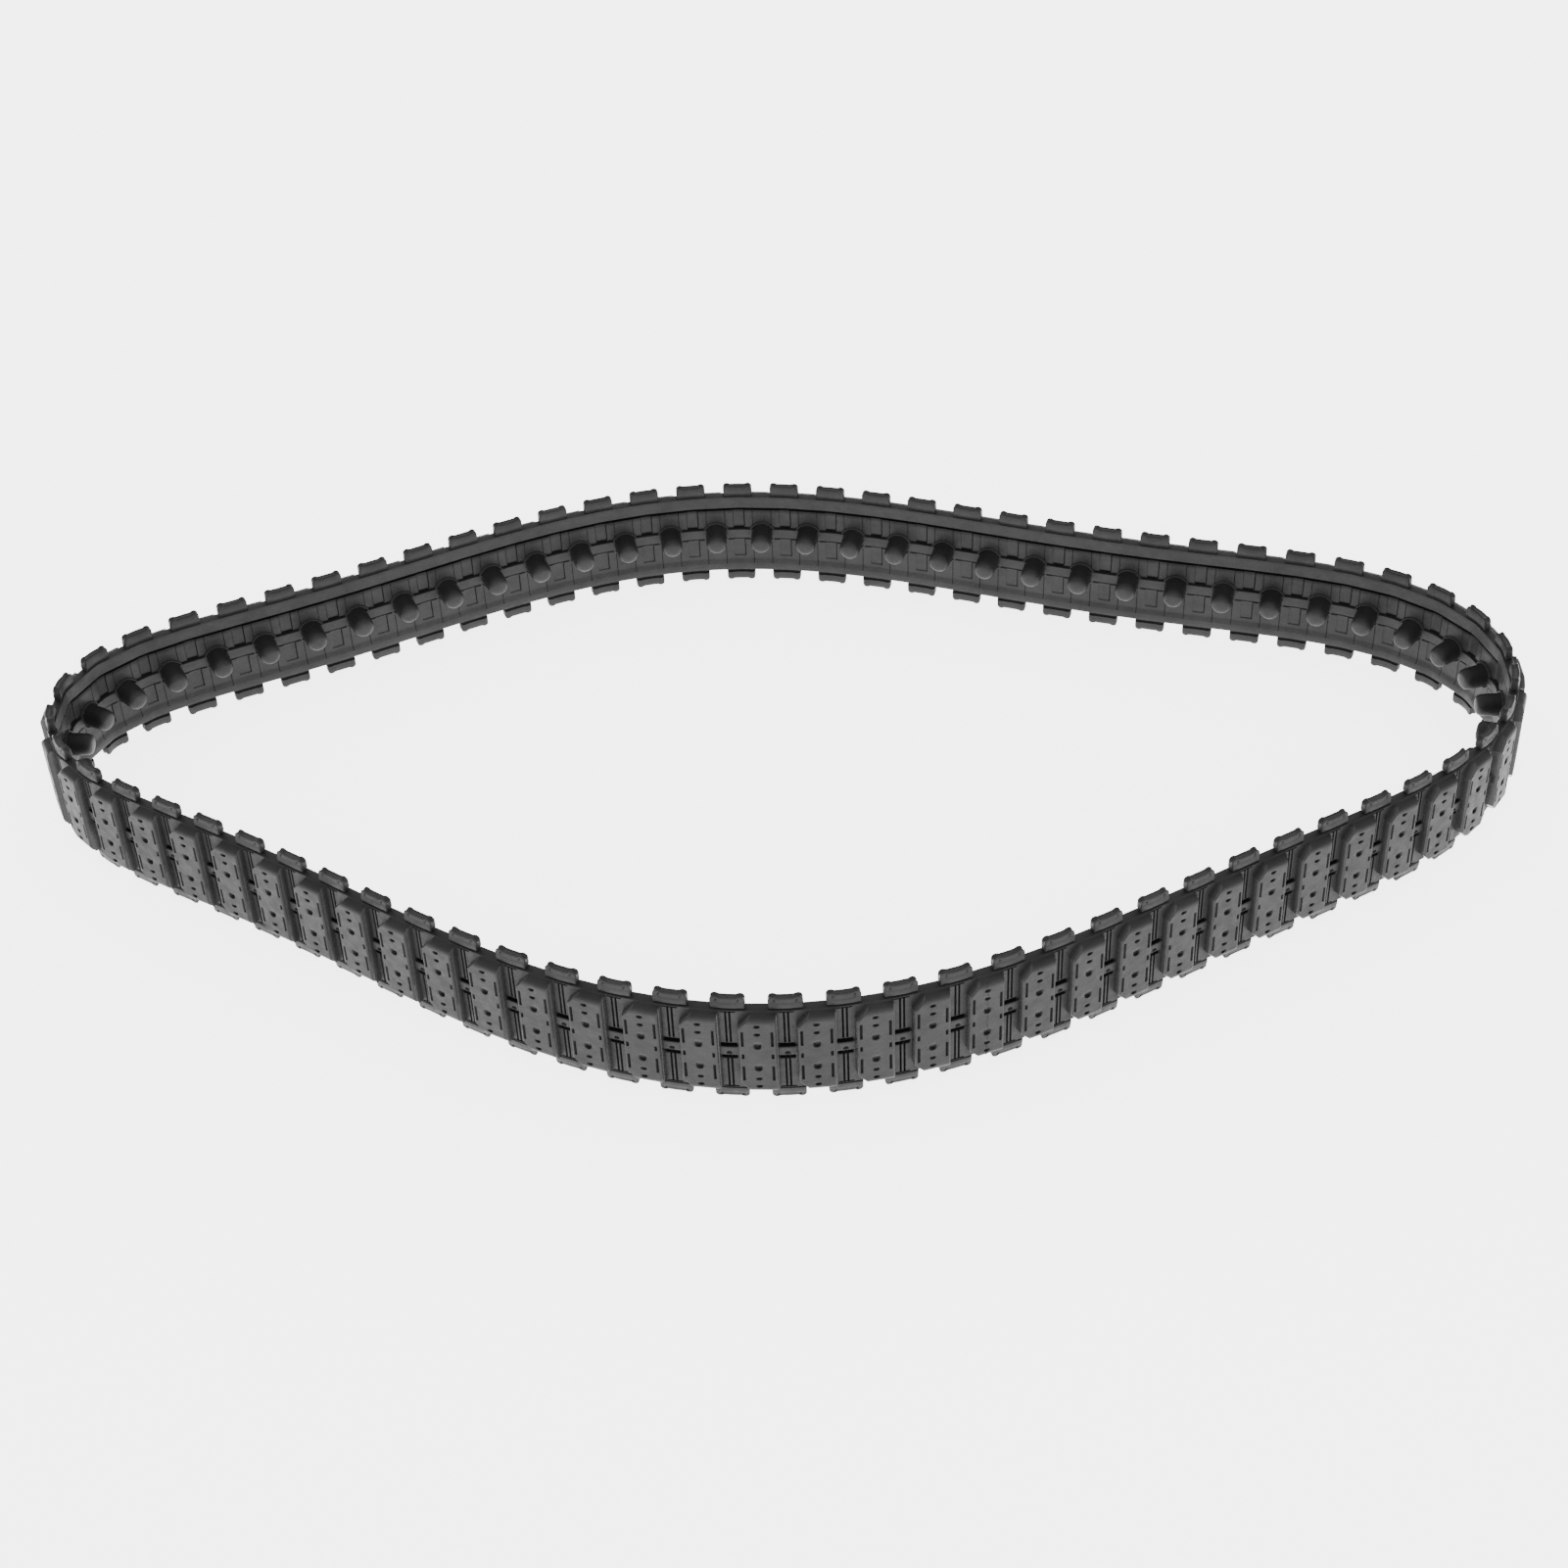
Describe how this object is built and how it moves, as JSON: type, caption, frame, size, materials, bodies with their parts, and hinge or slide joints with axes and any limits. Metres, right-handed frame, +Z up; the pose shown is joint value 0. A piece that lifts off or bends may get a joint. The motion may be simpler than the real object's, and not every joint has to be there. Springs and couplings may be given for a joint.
{
  "type": "rubber track",
  "caption": "Endless moulded rubber track band laid upright as a loop, with tread pads outside, guide horns inside and end tabs on both edges.",
  "frame": {"origin": "centre of the laid loop in plan, at the height of the lower tab edges it rests on", "axes": "+Z up across the width of the band, +X along the long way of the loop, -Y towards the broad front bend; tread faces outward"},
  "size_m": [0.319, 0.1754, 0.0271],
  "materials": {
    "link_pair_01": "matt moulded",
    "link_pair_02": "matt moulded",
    "link_pair_03": "matt moulded",
    "link_pair_04": "matt moulded",
    "link_pair_05": "matt moulded",
    "link_pair_06": "matt moulded",
    "link_pair_07": "matt moulded",
    "link_pair_08": "matt moulded",
    "splice_link_pair": "matt moulded",
    "link_pair_10": "matt moulded",
    "link_pair_11": "matt moulded",
    "link_pair_12": "matt moulded",
    "link_pair_13": "matt moulded",
    "link_pair_14": "matt moulded",
    "link_pair_15": "matt moulded",
    "link_pair_16": "matt moulded",
    "link_pair_17": "matt moulded",
    "link_pair_18": "matt moulded",
    "link_pair_19": "matt moulded",
    "link_pair_20": "matt moulded",
    "link_pair_21": "matt moulded",
    "link_pair_22": "matt moulded",
    "link_pair_23": "matt moulded",
    "link_pair_24": "matt moulded",
    "link_pair_25": "matt moulded",
    "link_pair_26": "matt moulded",
    "link_pair_27": "matt moulded",
    "link_pair_28": "matt moulded",
    "link_pair_29": "matt moulded",
    "link_pair_30": "matt moulded",
    "link_pair_31": "matt moulded",
    "link_pair_32": "matt moulded",
    "link_pair_33": "matt moulded",
    "link_pair_34": "matt moulded"
  },
  "bodies": {
    "section_01": {"link_pair_01": "link_pair_01", "link_pair_02": "link_pair_02"},
    "section_02": {"link_pair_03": "link_pair_03", "link_pair_04": "link_pair_04"},
    "section_03": {"link_pair_05": "link_pair_05", "link_pair_06": "link_pair_06"},
    "section_04": {"link_pair_07": "link_pair_07", "link_pair_08": "link_pair_08"},
    "section_05": {"splice_link_pair": "splice_link_pair", "link_pair_10": "link_pair_10"},
    "section_06": {"link_pair_11": "link_pair_11", "link_pair_12": "link_pair_12"},
    "section_07": {"link_pair_13": "link_pair_13", "link_pair_14": "link_pair_14"},
    "section_08": {"link_pair_15": "link_pair_15", "link_pair_16": "link_pair_16"},
    "section_09": {"link_pair_17": "link_pair_17", "link_pair_18": "link_pair_18"},
    "section_10": {"link_pair_19": "link_pair_19", "link_pair_20": "link_pair_20"},
    "section_11": {"link_pair_21": "link_pair_21", "link_pair_22": "link_pair_22"},
    "section_12": {"link_pair_23": "link_pair_23", "link_pair_24": "link_pair_24"},
    "section_13": {"link_pair_25": "link_pair_25", "link_pair_26": "link_pair_26"},
    "section_14": {"link_pair_27": "link_pair_27", "link_pair_28": "link_pair_28"},
    "section_15": {"link_pair_29": "link_pair_29", "link_pair_30": "link_pair_30"},
    "section_16": {"link_pair_31": "link_pair_31", "link_pair_32": "link_pair_32"},
    "section_17": {"link_pair_33": "link_pair_33", "link_pair_34": "link_pair_34"}
  },
  "joints": [
    {"name": "web_16_hinge", "type": "hinge", "parent": "section_04", "child": "section_05", "pos_m": [0.02167, -0.08211, 0.01355], "axis": [0, 0, 1], "range_deg": [-7.81, 3.91]},
    {"name": "web_20_hinge", "type": "hinge", "parent": "section_05", "child": "section_06", "pos_m": [0.06229, -0.06549, 0.01355], "axis": [0, 0, 1], "range_deg": [-5.51, 2.77]},
    {"name": "web_24_hinge", "type": "hinge", "parent": "section_06", "child": "section_07", "pos_m": [0.1007, -0.04403, 0.01355], "axis": [0, 0, 1], "range_deg": [-0.9, 0.46]},
    {"name": "squeeze_hinge", "type": "hinge", "parent": "section_07", "child": "section_08", "pos_m": [0.1385, -0.02159, 0.01355], "axis": [0, 0, 1], "range_deg": [-8.8, 17.6], "stiffness_Nm_per_rad": 0.03},
    {"name": "web_32_hinge", "type": "hinge", "parent": "section_08", "child": "section_09", "pos_m": [0.15661, 0.01627, 0.01355], "axis": [0, 0, 1], "range_deg": [-5.57, 11.12]},
    {"name": "web_36_hinge", "type": "hinge", "parent": "section_09", "child": "section_10", "pos_m": [0.12779, 0.047, 0.01355], "axis": [0, 0, 1], "range_deg": [-2.63, 1.33]},
    {"name": "web_40_hinge", "type": "hinge", "parent": "section_10", "child": "section_11", "pos_m": [0.08552, 0.05915, 0.01355], "axis": [0, 0, 1], "range_deg": [-1.93, 0.97]},
    {"name": "web_44_hinge", "type": "hinge", "parent": "section_11", "child": "section_12", "pos_m": [0.04362, 0.07257, 0.01355], "axis": [0, 0, 1], "range_deg": [-9.26, 4.64]},
    {"name": "web_12_hinge", "type": "hinge", "parent": "section_04", "child": "section_03", "pos_m": [-0.02195, -0.08247, 0.01355], "axis": [0, 0, -1], "range_deg": [-7.67, 3.85]},
    {"name": "web_08_hinge", "type": "hinge", "parent": "section_03", "child": "section_02", "pos_m": [-0.06213, -0.06498, 0.01355], "axis": [0, 0, -1], "range_deg": [-4.92, 2.47]},
    {"name": "web_04_hinge", "type": "hinge", "parent": "section_02", "child": "section_01", "pos_m": [-0.09866, -0.04046, 0.01355], "axis": [0, 0, -1], "range_deg": [-1.94, 0.98]},
    {"name": "web_00_hinge", "type": "hinge", "parent": "section_01", "child": "section_17", "pos_m": [-0.13595, -0.01711, 0.01355], "axis": [0, 0, -1], "range_deg": [-5.9, 11.77]},
    {"name": "web_64_hinge", "type": "hinge", "parent": "section_17", "child": "section_16", "pos_m": [-0.15618, 0.01849, 0.01355], "axis": [0, 0, -1], "range_deg": [-7.53, 15.04]},
    {"name": "web_60_hinge", "type": "hinge", "parent": "section_16", "child": "section_15", "pos_m": [-0.12282, 0.04503, 0.01355], "axis": [0, 0, -1], "range_deg": [-1.21, 2.4]},
    {"name": "web_56_hinge", "type": "hinge", "parent": "section_15", "child": "section_14", "pos_m": [-0.08287, 0.06345, 0.01355], "axis": [0, 0, -1], "range_deg": [-6.02, 3.02]},
    {"name": "web_52_hinge", "type": "hinge", "parent": "section_14", "child": "section_13", "pos_m": [-0.04238, 0.08053, 0.01355], "axis": [0, 0, -1], "range_deg": [-9.48, 4.75]}
  ],
  "couplings": [
    {"joint": "web_16_hinge", "follows": "squeeze_hinge", "ratio": -0.44239},
    {"joint": "web_20_hinge", "follows": "squeeze_hinge", "ratio": -0.31198},
    {"joint": "web_24_hinge", "follows": "squeeze_hinge", "ratio": -0.05008},
    {"joint": "web_32_hinge", "follows": "squeeze_hinge", "ratio": 0.63057},
    {"joint": "web_36_hinge", "follows": "squeeze_hinge", "ratio": -0.14836},
    {"joint": "web_40_hinge", "follows": "squeeze_hinge", "ratio": -0.10842},
    {"joint": "web_44_hinge", "follows": "squeeze_hinge", "ratio": -0.52524},
    {"joint": "web_12_hinge", "follows": "squeeze_hinge", "ratio": -0.43469},
    {"joint": "web_08_hinge", "follows": "squeeze_hinge", "ratio": -0.27826},
    {"joint": "web_04_hinge", "follows": "squeeze_hinge", "ratio": -0.10917},
    {"joint": "web_00_hinge", "follows": "squeeze_hinge", "ratio": 0.66776},
    {"joint": "web_64_hinge", "follows": "squeeze_hinge", "ratio": 0.85351},
    {"joint": "web_60_hinge", "follows": "squeeze_hinge", "ratio": 0.13513},
    {"joint": "web_56_hinge", "follows": "squeeze_hinge", "ratio": -0.34102},
    {"joint": "web_52_hinge", "follows": "squeeze_hinge", "ratio": -0.53737}
  ]
}
